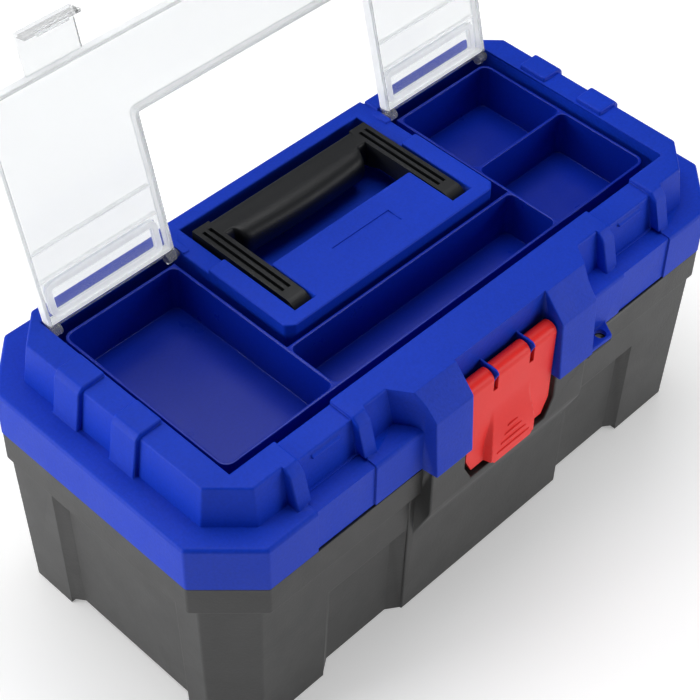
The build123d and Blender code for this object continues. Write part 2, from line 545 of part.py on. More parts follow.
os.makedirs("parts", exist_ok=True)
save("base_shell", base_shell())
save("lid_shell", lid_shell())
save("organiser_bin", organiser())
save("clear_cover", cover())
save("carry_handle", handle())
save("latch", latch())
save("latch_rod", pin(ROD_Y, ROD_Z, ROD_R, -WINDOW_X - WALL, WINDOW_X + WALL))
save("inner_tray", inner_tray())
PIN_HALF = KNUCKLE_HALF + GAP + LUG_T
for side, sign in (("left", -1), ("right", 1)):
    middle = sign * HINGE_X
    save("lid_hinge_pin_" + side, pin(HINGE_Y, HINGE_Z, HINGE_PIN_R, middle - PIN_HALF, middle + PIN_HALF))
    ends = sorted((sign * (PLATEAU_X - WELL_WALL), sign * (GRIP_WELL_X + WELL_WALL)))
    save("handle_pin_" + side, pin(PIVOT_Y, PIVOT_Z, HANDLE_PIN_R, *ends))
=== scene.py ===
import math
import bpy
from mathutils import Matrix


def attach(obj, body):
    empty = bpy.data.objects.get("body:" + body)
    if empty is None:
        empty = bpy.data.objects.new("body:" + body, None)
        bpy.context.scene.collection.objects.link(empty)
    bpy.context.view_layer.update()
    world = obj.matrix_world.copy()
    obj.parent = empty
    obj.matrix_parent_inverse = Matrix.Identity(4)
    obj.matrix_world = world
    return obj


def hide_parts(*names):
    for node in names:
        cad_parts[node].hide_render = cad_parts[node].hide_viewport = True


bl_info = {
    "name": "Toolbox with organiser lid",
    "version": (1, 0, 0),
    "blender": (4, 5, 0),
    "location": "3D View > Sidebar > Toolbox",
    "description": "Finishes a two-tone toolbox with an organiser lid around its fixed frame",
    "category": "Object",
}

import bmesh
import bpy
import numpy as np
from mathutils import Matrix, Vector

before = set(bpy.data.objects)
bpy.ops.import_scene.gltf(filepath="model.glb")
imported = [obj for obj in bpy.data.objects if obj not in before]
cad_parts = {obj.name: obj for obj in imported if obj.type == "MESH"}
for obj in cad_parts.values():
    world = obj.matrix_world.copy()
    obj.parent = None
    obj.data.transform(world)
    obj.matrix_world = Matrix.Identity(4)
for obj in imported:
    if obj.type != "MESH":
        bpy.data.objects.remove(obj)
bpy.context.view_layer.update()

MM = 0.001
MERGE = 1e-7            # points nearer than this, in metres, are one
FLAT = 0.01             # faces that turn by less than this, in radians, are one flat face
SHARP = math.radians(25.0)
FACE_SHARE = 0.42       # part of a face's width that a rounding may take
EDGE_SHARE = 0.7        # part of a neighbouring edge that a rounding may take


# ---- settings --------------------------------------------------------------------------------
class ToolboxSizes(bpy.types.PropertyGroup):
    shell_edge: bpy.props.FloatProperty(
        name="Shell edge", description="Rounding of the edges of the lid and base",
        default=1.1 * MM, min=0.1 * MM, max=1.3 * MM, unit="LENGTH", precision=4)
    bin_edge: bpy.props.FloatProperty(
        name="Bin edge", description="Rounding of the rims of the organiser and the tray",
        default=0.5 * MM, min=0.1 * MM, max=0.8 * MM, unit="LENGTH", precision=4)
    cover_edge: bpy.props.FloatProperty(
        name="Cover edge", description="Rounding of the edges of the clear cover",
        default=0.4 * MM, min=0.1 * MM, max=0.6 * MM, unit="LENGTH", precision=4)
    latch_edge: bpy.props.FloatProperty(
        name="Latch edge", description="Rounding of the edges of the latch",
        default=0.6 * MM, min=0.1 * MM, max=1.0 * MM, unit="LENGTH", precision=4)


class ToolboxColours(bpy.types.PropertyGroup):
    lid: bpy.props.FloatVectorProperty(
        name="Lid", description="Colour of the lid's plastic",
        default=(0.003, 0.040, 0.520), subtype="COLOR", min=0.0, max=1.0)
    organiser: bpy.props.FloatVectorProperty(
        name="Organiser", description="Colour of the organiser's plastic",
        default=(0.001, 0.020, 0.360), subtype="COLOR", min=0.0, max=1.0)
    base: bpy.props.FloatVectorProperty(
        name="Base", description="Colour of the base's plastic",
        default=(0.023, 0.023, 0.023), subtype="COLOR", min=0.0, max=1.0)
    handle: bpy.props.FloatVectorProperty(
        name="Handle", description="Colour of the handle's plastic",
        default=(0.008, 0.009, 0.011), subtype="COLOR", min=0.0, max=1.0)
    latch: bpy.props.FloatVectorProperty(
        name="Latch", description="Colour of the latch's plastic",
        default=(0.900, 0.026, 0.022), subtype="COLOR", min=0.0, max=1.0)
    clear: bpy.props.FloatVectorProperty(
        name="Clear cover", description="Tint of the clear cover",
        default=(0.95, 0.965, 0.97), subtype="COLOR", min=0.0, max=1.0)


class ToolboxStage(bpy.types.PropertyGroup):
    lens: bpy.props.FloatProperty(
        name="Lens", description="Focal length of the camera, in millimetres on a 36 mm sensor",
        default=95.1, min=20.0, max=300.0)
    azimuth: bpy.props.FloatProperty(
        name="Azimuth", description="Direction that the camera looks from, round the box",
        default=math.radians(-49.04), subtype="ANGLE")
    elevation: bpy.props.FloatProperty(
        name="Elevation", description="Height of the camera above the horizon",
        default=math.radians(46.74), subtype="ANGLE")
    roll: bpy.props.FloatProperty(
        name="Roll", description="Turn of the camera about its own line of sight",
        default=math.radians(3.26), subtype="ANGLE")
    key_power: bpy.props.FloatProperty(
        name="Key light", description="Power of the large light overhead",
        default=20.0, min=0.0, unit="POWER")
    left_power: bpy.props.FloatProperty(
        name="Left light", description="Power of the light beyond the left end",
        default=15.5, min=0.0, unit="POWER")
    front_power: bpy.props.FloatProperty(
        name="Front light", description="Power of the light in front of the box, towards its right end",
        default=11.0, min=0.0, unit="POWER")
    sky: bpy.props.FloatProperty(
        name="Sky", description="Strength of the even light from all round",
        default=0.07, min=0.0, max=2.0)


def sizes():
    return bpy.context.scene.toolbox_sizes


def colours():
    return bpy.context.scene.toolbox_colours


# ---- surfaces --------------------------------------------------------------------------------
def grid_quads(rows, columns, wrap_rows=False, wrap_columns=False):
    """Quads between neighbouring points of a rows by columns grid, as an array of corner numbers."""
    row = np.arange(rows if wrap_rows else rows - 1)
    column = np.arange(columns if wrap_columns else columns - 1)
    i, j = np.meshgrid(row, column, indexing="ij")
    i2, j2 = (i + 1) % rows, (j + 1) % columns
    corners = [i * columns + j, i2 * columns + j, i2 * columns + j2, i * columns + j2]
    return np.stack(corners, axis=-1).reshape(-1, 4)


def mesh_object(name, points, quads, extra_faces=()):
    """A mesh object from an (n, 3) array of points, quads, and a few faces of any length."""
    mesh = bpy.data.meshes.new(name)
    faces = [tuple(q) for q in quads.tolist()] + [tuple(f) for f in extra_faces]
    mesh.from_pydata(np.asarray(points, float).reshape(-1, 3).tolist(), [], faces)
    mesh.validate()
    mesh.update()
    made = bpy.data.objects.new(name, mesh)
    bpy.context.scene.collection.objects.link(made)
    mesh.polygons.foreach_set("use_smooth", np.ones(len(mesh.polygons), bool))
    return made


def face_outwards(made):
    """Merges doubles and turns every face outwards."""
    work = bmesh.new()
    work.from_mesh(made.data)
    bmesh.ops.remove_doubles(work, verts=work.verts, dist=MERGE)
    bmesh.ops.recalc_face_normals(work, faces=work.faces)
    work.to_mesh(made.data)
    work.free()
    return made


def soften(made, width, segments=2, angle=38.0):
    """Rounds the ridges of a made surface that turn by more than angle, and evens its shading."""
    bevel = made.modifiers.new("rounded edges", "BEVEL")
    bevel.width = width
    bevel.segments = segments
    bevel.limit_method = "ANGLE"
    bevel.angle_limit = math.radians(angle)
    normals = made.modifiers.new("weighted normals", "WEIGHTED_NORMAL")
    normals.keep_sharp = False
    return made


def rise(value, low, high):
    """0 below low, 1 above high and 3t^2 - 2t^3 between them, where t runs from 0 to 1."""
    t = np.clip((value - low) / (high - low), 0.0, 1.0)
    return t * t * (3.0 - 2.0 * t)


def rounded_path(corners, radius, steps=6):
    """A closed path whose corners are arcs: the quadratic curve between the points radius before and
    after each corner, (1-t)^2 a + 2t(1-t) corner + t^2 b."""
    corners = np.asarray(corners, float)
    before = np.roll(corners, 1, axis=0) - corners
    after = np.roll(corners, -1, axis=0) - corners
    start = corners + radius * before / np.linalg.norm(before, axis=1, keepdims=True)
    end = corners + radius * after / np.linalg.norm(after, axis=1, keepdims=True)
    t = np.linspace(0.0, 1.0, steps)[None, :, None]
    arcs = (1 - t) ** 2 * start[:, None] + 2 * t * (1 - t) * corners[:, None] + t ** 2 * end[:, None]
    return arcs.reshape(-1, 2)


def carried_loop(path, profile):
    """A closed profile of (outwards, height) points carried round a closed flat path.

    Point (i, j) is path(i) + outwards(j) * normal(i), at height(j); the normal is the tangent turned
    by a quarter turn."""
    ahead = np.roll(path, -1, axis=0) - np.roll(path, 1, axis=0)
    ahead /= np.linalg.norm(ahead, axis=1, keepdims=True)
    normal = np.stack([ahead[:, 1], -ahead[:, 0]], axis=1)
    flat = path[:, None, :] + normal[:, None, :] * profile[None, :, :1]
    height = np.broadcast_to(profile[None, :, 1:], flat.shape[:2] + (1,))
    return np.concatenate([flat, height], axis=2), grid_quads(len(path), len(profile), True, True)


def joined(parts):
    """Several (points, quads) surfaces as one set of points and quads."""
    points = [np.reshape(part[0], (-1, 3)) for part in parts]
    starts = np.cumsum([0] + [len(p) for p in points[:-1]])
    return np.concatenate(points), np.concatenate([part[1] + start for part, start in zip(parts, starts)])


def mirrored(points):
    """The points on the other side of the YZ plane."""
    return points * np.array([-1.0, 1.0, 1.0])


def soft_copy(node, name, edge, hollows=False):
    """A copy of a frame node, its doubles merged and its flat faces joined, with rounded edges.

    An outer edge is rounded where its faces turn by more than SHARP, and an inner one too where
    hollows is set. Its width is edge, or less where its faces or the edges at its ends are small, so
    that a rounding never runs past the far side. Inner edges that aren't rounded stay crisp."""
    mesh = bpy.data.meshes.new(name)
    work = bmesh.new()
    work.from_mesh(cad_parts[node].data)
    bmesh.ops.remove_doubles(work, verts=work.verts, dist=10 * MERGE)
    bmesh.ops.dissolve_limit(work, angle_limit=FLAT, verts=work.verts, edges=work.edges)
    bmesh.ops.connect_verts_concave(work, faces=work.faces)
    weight = work.edges.layers.float.new("bevel_weight_edge")
    for ridge in work.edges:
        if ridge.calc_face_angle(0.0) < SHARP or ridge.calc_length() < MERGE:
            continue
        if not (hollows or ridge.is_convex):
            ridge.smooth = False
            continue
        start = ridge.verts[0].co
        along = (ridge.verts[1].co - start).normalized()
        reach = min(max((corner.co - start).cross(along).length for corner in face.verts)
                    for face in ridge.link_faces)
        shortest = min(other.calc_length() for end in ridge.verts for other in end.link_edges)
        ridge[weight] = min(1.0, FACE_SHARE * reach / edge, EDGE_SHARE * shortest / edge)
    work.to_mesh(mesh)
    work.free()
    made = bpy.data.objects.new(name, mesh)
    bpy.context.scene.collection.objects.link(made)
    mesh.polygons.foreach_set("use_smooth", np.ones(len(mesh.polygons), bool))
    bevel = made.modifiers.new("rounded edges", "BEVEL")
    bevel.width = edge
    bevel.segments = 2
    bevel.limit_method = "WEIGHT"
    bevel.use_clamp_overlap = False
    bevel.miter_outer = "MITER_ARC"
    normals = made.modifiers.new("weighted normals", "WEIGHTED_NORMAL")
    normals.weight = 60
    normals.keep_sharp = True
    return made


def place(made, body, slot, material, *nodes):
    """Gives a finished piece its finish and its body, and hides the frame nodes that it stands for."""
    made.data.materials.clear()
    made.data.materials.append(material)
    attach(made, body)
    if nodes:
        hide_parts(*nodes)


# ---- finishes --------------------------------------------------------------------------------
def new_finish(name):
    """A node material, its node tree and its Principled shader."""
    finish = bpy.data.materials.new(name)
    finish.use_nodes = True
    tree = finish.node_tree
    tree.nodes.clear()
    out = tree.nodes.new("ShaderNodeOutputMaterial")
    shader = tree.nodes.new("ShaderNodeBsdfPrincipled")
    tree.links.new(shader.outputs["BSDF"], out.inputs["Surface"])
    return finish, tree, shader


def object_noise(tree, scale, detail=2.0, roughness=0.5, stretch=(1.0, 1.0, 1.0)):
    """Noise on the piece's own coordinates."""
    coordinates = tree.nodes.new("ShaderNodeTexCoord")
    mapping = tree.nodes.new("ShaderNodeMapping")
    mapping.inputs["Scale"].default_value = stretch
    noise = tree.nodes.new("ShaderNodeTexNoise")
    noise.inputs["Scale"].default_value = scale
    noise.inputs["Detail"].default_value = detail
    noise.inputs["Roughness"].default_value = roughness
    tree.links.new(coordinates.outputs["Object"], mapping.inputs["Vector"])
    tree.links.new(mapping.outputs["Vector"], noise.inputs["Vector"])
    return noise.outputs["Fac"]


def ramp(tree, factor, low, high, low_colour, high_colour):
    """A two-stop blend of colours between two values of factor."""
    node = tree.nodes.new("ShaderNodeValToRGB")
    node.color_ramp.elements[0].position = low
    node.color_ramp.elements[1].position = high
    node.color_ramp.elements[0].color = (*low_colour, 1.0)
    node.color_ramp.elements[1].color = (*high_colour, 1.0)
    tree.links.new(factor, node.inputs["Fac"])
    return node.outputs["Color"]


def span(tree, factor, low, high):
    """Factor, from 0 to 1, stretched to run from low to high."""
    node = tree.nodes.new("ShaderNodeMapRange")
    node.inputs["To Min"].default_value = low
    node.inputs["To Max"].default_value = high
    tree.links.new(factor, node.inputs["Value"])
    return node.outputs["Result"]


def bumps(tree, shader, layers):
    """Bump nodes one after another; each layer is (height, distance, strength)."""
    previous = None
    for height, distance, strength in layers:
        node = tree.nodes.new("ShaderNodeBump")
        node.inputs["Distance"].default_value = distance
        node.inputs["Strength"].default_value = strength
        tree.links.new(height, node.inputs["Height"])
        if previous is not None:
            tree.links.new(previous, node.inputs["Normal"])
        previous = node.outputs["Normal"]
    tree.links.new(previous, shader.inputs["Normal"])


GLOSS_SWING = 0.07      # how far a plastic's roughness strays from its middle
DARK_SPECK, LIGHT_SPECK = (0.38, 0.38, 0.38), (0.62, 0.62, 0.62)


def moulded_plastic(name, colour, shade, roughness, grain, specular):
    """Matte moulded plastic: fine spark-eroded grain, faint mottling and a slightly uneven gloss.

    Shade is how far the mottling lightens and darkens the colour, and grain how deep the grain looks."""
    finish, tree, shader = new_finish(name)
    mottle = object_noise(tree, 14.0, 4.0, 0.6)
    speck = object_noise(tree, 620.0, 2.0, 0.6)
    lighter = [min(1.0, c * (1.0 + shade)) for c in colour]
    darker = [c * (1.0 - shade) for c in colour]
    base_colour = ramp(tree, mottle, 0.3, 0.7, darker, lighter)
    fleck = tree.nodes.new("ShaderNodeMix")
    fleck.data_type = "RGBA"
    fleck.blend_type = "OVERLAY"
    fleck.inputs["Factor"].default_value = 0.32
    tree.links.new(base_colour, fleck.inputs[6])
    tree.links.new(ramp(tree, speck, 0.3, 0.7, DARK_SPECK, LIGHT_SPECK), fleck.inputs[7])
    tree.links.new(fleck.outputs[2], shader.inputs["Base Color"])
    gloss = object_noise(tree, 60.0, 3.0, 0.55)
    uneven = span(tree, gloss, roughness - GLOSS_SWING, roughness + GLOSS_SWING)
    tree.links.new(uneven, shader.inputs["Roughness"])
    shader.inputs["Specular IOR Level"].default_value = specular
    waves = object_noise(tree, 45.0, 2.0)
    bumps(tree, shader, [(speck, 0.22 * MM, grain), (waves, 0.6 * MM, 0.05)])
    return finish


def clear_plastic(name, tint):
    """Clear moulded polypropylene: light goes through it, a little clouded, with a soft gloss."""
    finish, tree, shader = new_finish(name)
    shader.inputs["Base Color"].default_value = (*tint, 1.0)
    shader.inputs["IOR"].default_value = 1.2
    shader.inputs["Transmission Weight"].default_value = 0.86
    cloud = object_noise(tree, 18.0, 3.0)
    tree.links.new(span(tree, cloud, 0.03, 0.10), shader.inputs["Roughness"])
    bumps(tree, shader, [(object_noise(tree, 30.0, 1.0), 0.4 * MM, 0.12)])
    return finish


def frosted_plastic_painted_glow(name, tint):
    """The matt ribs and rims of the clear moulding: milky, half see-through, with a broad gloss, and a
    painted glow: a faint white emission that lightens them as if lit.
    """
    finish, tree, shader = new_finish(name)
    shader.inputs["Base Color"].default_value = (*tint, 1.0)
    shader.inputs["IOR"].default_value = 1.3
    shader.inputs["Transmission Weight"].default_value = 0.5
    shader.inputs["Specular IOR Level"].default_value = 0.6
    # painted glow: a faint white emission lightens the rims as if light fell on them
    shader.inputs["Emission Color"].default_value = (1.0, 1.0, 1.0, 1.0)
    shader.inputs["Emission Strength"].default_value = 0.16
    grain = object_noise(tree, 400.0, 2.0)
    tree.links.new(span(tree, grain, 0.28, 0.45), shader.inputs["Roughness"])
    bumps(tree, shader, [(grain, 0.06 * MM, 0.5)])
    return finish


def steel(name, colour, roughness):
    """Drawn steel with fine lengthwise marks."""
    finish, tree, shader = new_finish(name)
    shader.inputs["Metallic"].default_value = 1.0
    drawn = object_noise(tree, 900.0, 3.0, 0.6, (0.03, 1.0, 1.0))
    darker = [c * 0.7 for c in colour]
    tree.links.new(ramp(tree, drawn, 0.25, 0.75, darker, colour), shader.inputs["Base Color"])
    tree.links.new(span(tree, drawn, roughness - 0.08, roughness + 0.1), shader.inputs["Roughness"])
    bumps(tree, shader, [(drawn, 0.03 * MM, 0.4)])
    return finish


# ---- pieces ----------------------------------------------------------------------------------
class TOOLBOX_OT_base(bpy.types.Operator):
    """Makes the charcoal base with its rounded edges"""
    bl_idname = "toolbox.base"
    bl_label = "Base shell"

    def execute(self, context):
        plastic = moulded_plastic("charcoal plastic", colours().base, 0.10, 0.50, 0.55, 0.55)
        shell = soft_copy("base_shell", "base_body", sizes().shell_edge)
        place(shell, "base", "base_plastic", plastic, "base_shell")
        return {"FINISHED"}


class TOOLBOX_OT_lid(bpy.types.Operator):
    """Makes the blue lid with its rounded edges"""
    bl_idname = "toolbox.lid"
    bl_label = "Lid shell"

    def execute(self, context):
        plastic = moulded_plastic("blue lid plastic", colours().lid, 0.06, 0.52, 0.45, 0.17)
        shell = soft_copy("lid_shell", "lid_body", sizes().shell_edge)
        place(shell, "lid", "lid_plastic", plastic, "lid_shell")
        return {"FINISHED"}


class TOOLBOX_OT_organiser(bpy.types.Operator):
    """Makes the organiser in the lid and the tray inside the base"""
    bl_idname = "toolbox.organiser"
    bl_label = "Organiser and tray"

    def execute(self, context):
        plastic = moulded_plastic("deep blue bin plastic", colours().organiser, 0.05, 0.30, 0.12, 0.30)
        bins = soft_copy("organiser_bin", "organiser", sizes().bin_edge, hollows=True)
        place(bins, "lid", "bin_plastic", plastic, "organiser_bin")
        tray = soft_copy("inner_tray", "lift_out_tray", sizes().bin_edge, hollows=True)
        place(tray, "base", "bin_plastic", plastic, "inner_tray")
        return {"FINISHED"}


# clear cover, as it lies shut; lengths in mm
COVER_HINGE = np.array([0.0, 66.5, 180.5]) * MM
COVER_OPEN = math.radians(104.0)
COVER_END, LEG_IN = 164.5, 81.5         # outer and inner edge of a leg
COVER_FRONT, STRIP_BACK, LEG_BACK = -65.0, -20.8, 62.5
RIM_SECTION = [(0.15, 179.6), (0.15, 184.8), (-1.9, 184.8), (-1.9, 179.6)]
FRAME_SECTION = [(0.0, 181.0), (0.0, 185.2), (-0.5, 185.7), (-2.6, 185.7), (-3.1, 185.2), (-3.1, 181.0)]
RIB_SECTION = [(0.0, 181.6), (0.0, 185.1), (-0.45, 185.1), (-0.45, 181.6)]
FRAME_IN, FRAME_OUT, FRAME_NEAR, FRAME_FAR = 86.5, 159.5, 61.5, 41.5
RIB_IN, RIB_OUT, RIB_WIDTH = 84.5, 161.5, 1.0
RIB_PLACES = (38.5, 21.5)


def stand_cover_open(points):
    """Turns points of the shut cover about its hinge: with (y, z) from the hinge and the angle a,
    y' = y cos a + z sin a and z' = z cos a - y sin a."""
    y, z = points[..., 1] - COVER_HINGE[1], points[..., 2] - COVER_HINGE[2]
    return np.stack([points[..., 0],
                     COVER_HINGE[1] + y * math.cos(COVER_OPEN) + z * math.sin(COVER_OPEN),
                     COVER_HINGE[2] + z * math.cos(COVER_OPEN) - y * math.sin(COVER_OPEN)], axis=-1)


def rectangle(x0, x1, y0, y1):
    """The corners of a rectangle, anticlockwise."""
    return [(x0, y0), (x1, y0), (x1, y1), (x0, y1)]


def cover_rims():
    """The milky mouldings of the cover: a rim round the whole outline, a rounded window frame
    near the hinge on each leg, and thin ribs across each leg."""
    outline = [(-COVER_END, COVER_FRONT), (COVER_END, COVER_FRONT), (COVER_END, LEG_BACK),
               (LEG_IN, LEG_BACK), (LEG_IN, STRIP_BACK), (-LEG_IN, STRIP_BACK),
               (-LEG_IN, LEG_BACK), (-COVER_END, LEG_BACK)]
    rim = carried_loop(rounded_path(outline, 2.5), np.array(RIM_SECTION))
    window = rounded_path(rectangle(FRAME_IN, FRAME_OUT, FRAME_FAR, FRAME_NEAR), 5.0, 8)
    leg = [carried_loop(window, np.array(FRAME_SECTION))]
    for near in RIB_PLACES:
        rib = rounded_path(rectangle(RIB_IN, RIB_OUT, near, near + RIB_WIDTH), 0.4, 3)
        leg.append(carried_loop(rib, np.array(RIB_SECTION)))
    other_leg = [(mirrored(points), quads) for points, quads in leg]
    points, quads = joined([rim, *leg, *other_leg])
    return stand_cover_open(points * MM), quads


class TOOLBOX_OT_cover(bpy.types.Operator):
    """Makes the clear cover standing open over the organiser"""
    bl_idname = "toolbox.cover"
    bl_label = "Clear cover"

    def execute(self, context):
        clear = clear_plastic("clear plastic", colours().clear)
        cover = soft_copy("clear_cover", "organiser_cover", sizes().cover_edge)
        place(cover, "cover", "clear_plastic", clear, "clear_cover")
        # the frosted rims carry a painted glow, a faint white emission
        frosted = frosted_plastic_painted_glow("frosted plastic painted glow", colours().clear)
        rims = soften(face_outwards(mesh_object("organiser_cover_rims", *cover_rims())), 0.3 * MM)
        place(rims, "cover", "clear_plastic", frosted)
        return {"FINISHED"}


# carrying handle, folded down; lengths in mm
ARM_IN, ARM_OUT = 53.6, 65.4
PIVOT_Y, PIVOT_Z, ARM_END = -2.0, 176.0, 8.4
ARM_THINS, ARM_THICKENS = 9.0, (44.0, 56.0)
ARM_LIFT = 3.8                          # how much thinner an arm is between its ends
HANDLE_BACK = 69.8
GROOVES = ((56.2, 58.4), (60.6, 62.8))
GROOVE_SLANT, GROOVE_DEPTH = 0.1, 2.4
GROOVE_START, GROOVE_END, GROOVE_STEP = 3.4, 65.0, 0.6
GRIP_HALF, GRIP_MIDDLE_Y, GRIP_MIDDLE_Z = 54.6, 58.0, 174.0
GRIP_UP, WEB_DOWN, FAT_DOWN = 10.4, 6.0, 4.6
WEB_FRONT, FAT_FRONT, BOW = 55.4, 7.2, 2.4
FAT_ENDS = (44.5, 48.6)                 # where the fat part of the grip steps back to the web
FRONT_POWER, BACK_POWER = 2.4, 8.0


def tube(x, y, z):
    """Rows of closed sections as points, their quads, and the two faces that close the ends."""
    rows, columns = z.shape
    caps = [np.arange(columns), np.arange(columns) + (rows - 1) * columns]
    return np.stack([x, y, z], axis=-1), grid_quads(rows, columns, False, True), caps


def handle_arm():
    """The right arm: for each y, a box section with two grooves in its top.

    With r the radius of its end, its top is at pivot + r and runs down round the pivot as
    z = pivot + sqrt(r^2 - (y - pivot)^2). Its underside mirrors that below the pivot, and rises by
    smooth steps to the arm's own underside between its ends."""
    end = PIVOT_Y - (ARM_END - 0.02) * np.cos(np.linspace(0.0, math.pi / 2, 14))
    y = np.concatenate([end, [1.0, GROOVE_START, GROOVE_START + GROOVE_STEP], np.linspace(6.0, 62.0, 24),
                        [GROOVE_END - GROOVE_STEP, GROOVE_END, HANDLE_BACK]])
    drop = np.sqrt(np.maximum(ARM_END ** 2 - np.minimum(y - PIVOT_Y, 0.0) ** 2, 0.0))
    lifted = ARM_LIFT * (rise(y, PIVOT_Y, PIVOT_Y + ARM_THINS) - rise(y, *ARM_THICKENS))
    starts = rise(y, GROOVE_START, GROOVE_START + GROOVE_STEP)
    ends = 1.0 - rise(y, GROOVE_END - GROOVE_STEP, GROOVE_END)
    groove = starts * ends * GROOVE_DEPTH + 0.01
    edges = [(a, a + GROOVE_SLANT, b - GROOVE_SLANT, b) for a, b in GROOVES]
    top_x = np.concatenate([[ARM_IN], *edges, [ARM_OUT]])
    cut = np.array([0, 0, 1, 1, 0, 0, 1, 1, 0, 0])
    upper = (PIVOT_Z + drop)[:, None] - groove[:, None] * cut[None, :]
    lower = np.repeat((PIVOT_Z - drop + lifted)[:, None], 2, axis=1)
    z = np.concatenate([upper, lower], axis=1)
    across = np.broadcast_to(np.concatenate([top_x, [ARM_OUT, ARM_IN]]), z.shape)
    return tube(across, np.broadcast_to(y[:, None], z.shape), z)


def handle_grip():
    """The grip: for each x, a closed section that is square behind and round in front.

    With c and s the cosine and sine of the angle round it, the section is
    y = middle + a sign(c) |c|^(2/n) and z = middle + b sign(s) |s|^(2/n), where n is smaller in front
    than behind. Its front bows out towards the middle and steps back to a web beside each arm."""
    step = np.array([48.6, 47.6, 46.6, 45.4])
    x = np.concatenate([[-GRIP_HALF], -step, np.linspace(-43.0, 43.0, 44), step[::-1], [GRIP_HALF]])
    angle = np.linspace(0.0, 2 * math.pi, 72, endpoint=False)
    c, s = np.cos(angle), np.sin(angle)
    fat = 1.0 - rise(np.abs(x), *FAT_ENDS)
    front = WEB_FRONT - fat * (FAT_FRONT + BOW * (1.0 - (x / 48.0) ** 2))
    half_y = np.where(c[None, :] < 0.0, (GRIP_MIDDLE_Y - front)[:, None], HANDLE_BACK - GRIP_MIDDLE_Y)
    power = np.where(c < 0.0, 2.0 / FRONT_POWER, 2.0 / BACK_POWER)
    half_z = np.where(s[None, :] < 0.0, (WEB_DOWN + FAT_DOWN * fat)[:, None], GRIP_UP)
    y = GRIP_MIDDLE_Y + half_y * (np.sign(c) * np.abs(c) ** power)[None, :]
    z = GRIP_MIDDLE_Z + half_z * (np.sign(s) * np.abs(s) ** power)[None, :]
    return tube(np.broadcast_to(x[:, None], z.shape), y, z)


class TOOLBOX_OT_handle(bpy.types.Operator):
    """Makes the folding carrying handle: a bowed grip between two grooved arms"""
    bl_idname = "toolbox.handle"
    bl_label = "Carry handle"

    def execute(self, context):
        plastic = moulded_plastic("black handle plastic", colours().handle, 0.08, 0.46, 0.50, 0.34)
        points, quads, caps = handle_arm()
        right = mesh_object("handle_arm_right", points * MM, quads, caps)
        left = mesh_object("handle_arm_left", mirrored(points) * MM, quads, caps)
        points, quads, caps = handle_grip()
        grip = mesh_object("handle_grip", points * MM, quads, caps)
        for piece in (right, left):
            soften(face_outwards(piece), 0.45 * MM)
            place(piece, "handle", "handle_plastic", plastic)
        soften(face_outwards(grip), 0.6 * MM, 3, 60.0)
        place(grip, "handle", "handle_plastic", plastic, "carry_handle")
        return {"FINISHED"}


# latch, closed; lengths in mm
ROD_Y, ROD_Z, BARREL = -99.2, 163.5, 5.3
ROLL = math.radians(235.0)              # how far the sheet runs round the rod
PLATE_Y, PLATE_X, PLATE_WALL = -104.5, 33.5, 2.2
PLATE_FOOT, PLATE_FOOT_X, CORNER_SLOPE = 103.0, 28.6, 0.46
FIN_X, SLOT_HALF, SLOT_REACH = 14.2, 1.7, 8.2
PAD_DROP, PAD_EDGE = 2.2, 0.9
PAD_LOW_X, PAD_NARROWS, PAD_NARROWING = 18.0, 3.0, (112.0, 138.0)
PAD_SWELL, PAD_SPAN = 4.6, (108.0, 142.0)
GRIP_LINES = ((121.6, 4.1), (117.0, 7.0), (112.4, 10.2), (107.3, 13.2))     # height and half length
LINE_PROUD, LINE_HALF = 0.75, 0.95


def pad_swell(z):
    """How far the thumb pad stands out at height z: a smooth step that grows downwards."""
    return PAD_SWELL * (1.0 - rise(z, *PAD_SPAN))


def latch_sheet():
    """The latch's outer face: a plate that rolls over the rod, with a thumb pad swelling from it.

    Rows run up the plate and on round the rod as (rod_y - r cos a, rod_z + r sin a); columns run across.
    Beside the pad's edge its front falls away as a smooth step, and its height grows downwards as a smooth
    step of z. Faces inside the two slots for the lid's fins are left out."""
    up = np.linspace(0.0, 1.0, 110)
    turn = np.linspace(0.0, ROLL, 40)[1:]
    slot_in, slot_out = FIN_X - SLOT_HALF, FIN_X + SLOT_HALF
    stops = [-PLATE_X, -slot_out, -slot_in, slot_in, slot_out, PLATE_X]
    counts = (26, 4, 40, 4, 26)
    across = np.concatenate([np.linspace(a, b, n, endpoint=False)
                             for a, b, n in zip(stops[:-1], stops[1:], counts)] + [[PLATE_X]])
    foot = PLATE_FOOT - PAD_DROP * (1.0 - rise(np.abs(across), PAD_LOW_X - 1.0, PAD_LOW_X + 1.0))
    z_flat = foot[None, :] + up[:, None] * (ROD_Z - foot[None, :])
    reach = PLATE_FOOT_X + CORNER_SLOPE * np.maximum(z_flat - PLATE_FOOT, 0.0)
    x_flat = across[None, :] * np.minimum(1.0, reach / PLATE_X)
    pad_half = PAD_LOW_X - PAD_NARROWS * rise(z_flat, *PAD_NARROWING)
    inside = 1.0 - rise(np.abs(x_flat), pad_half - PAD_EDGE, pad_half + PAD_EDGE)
    y_flat = PLATE_Y - pad_swell(z_flat) * inside
    x_roll = np.broadcast_to(across, (len(turn), len(across)))
    y_roll = np.broadcast_to((ROD_Y - BARREL * np.cos(turn))[:, None], x_roll.shape)
    z_roll = np.broadcast_to((ROD_Z + BARREL * np.sin(turn))[:, None], x_roll.shape)
    points = np.stack([np.concatenate([x_flat, x_roll]), np.concatenate([y_flat, y_roll]),
                       np.concatenate([z_flat, z_roll])], axis=-1)
    rows, columns = points.shape[:2]
    quads = grid_quads(rows, columns)
    middle = points.reshape(-1, 3)[quads].mean(axis=1)
    past_slot_end = (middle[:, 2] > ROD_Z - SLOT_REACH) | (quads[:, 0] // columns >= len(up) - 1)
    slot = (np.abs(np.abs(middle[:, 0]) - FIN_X) < SLOT_HALF) & past_slot_end
    return points, quads[~slot]


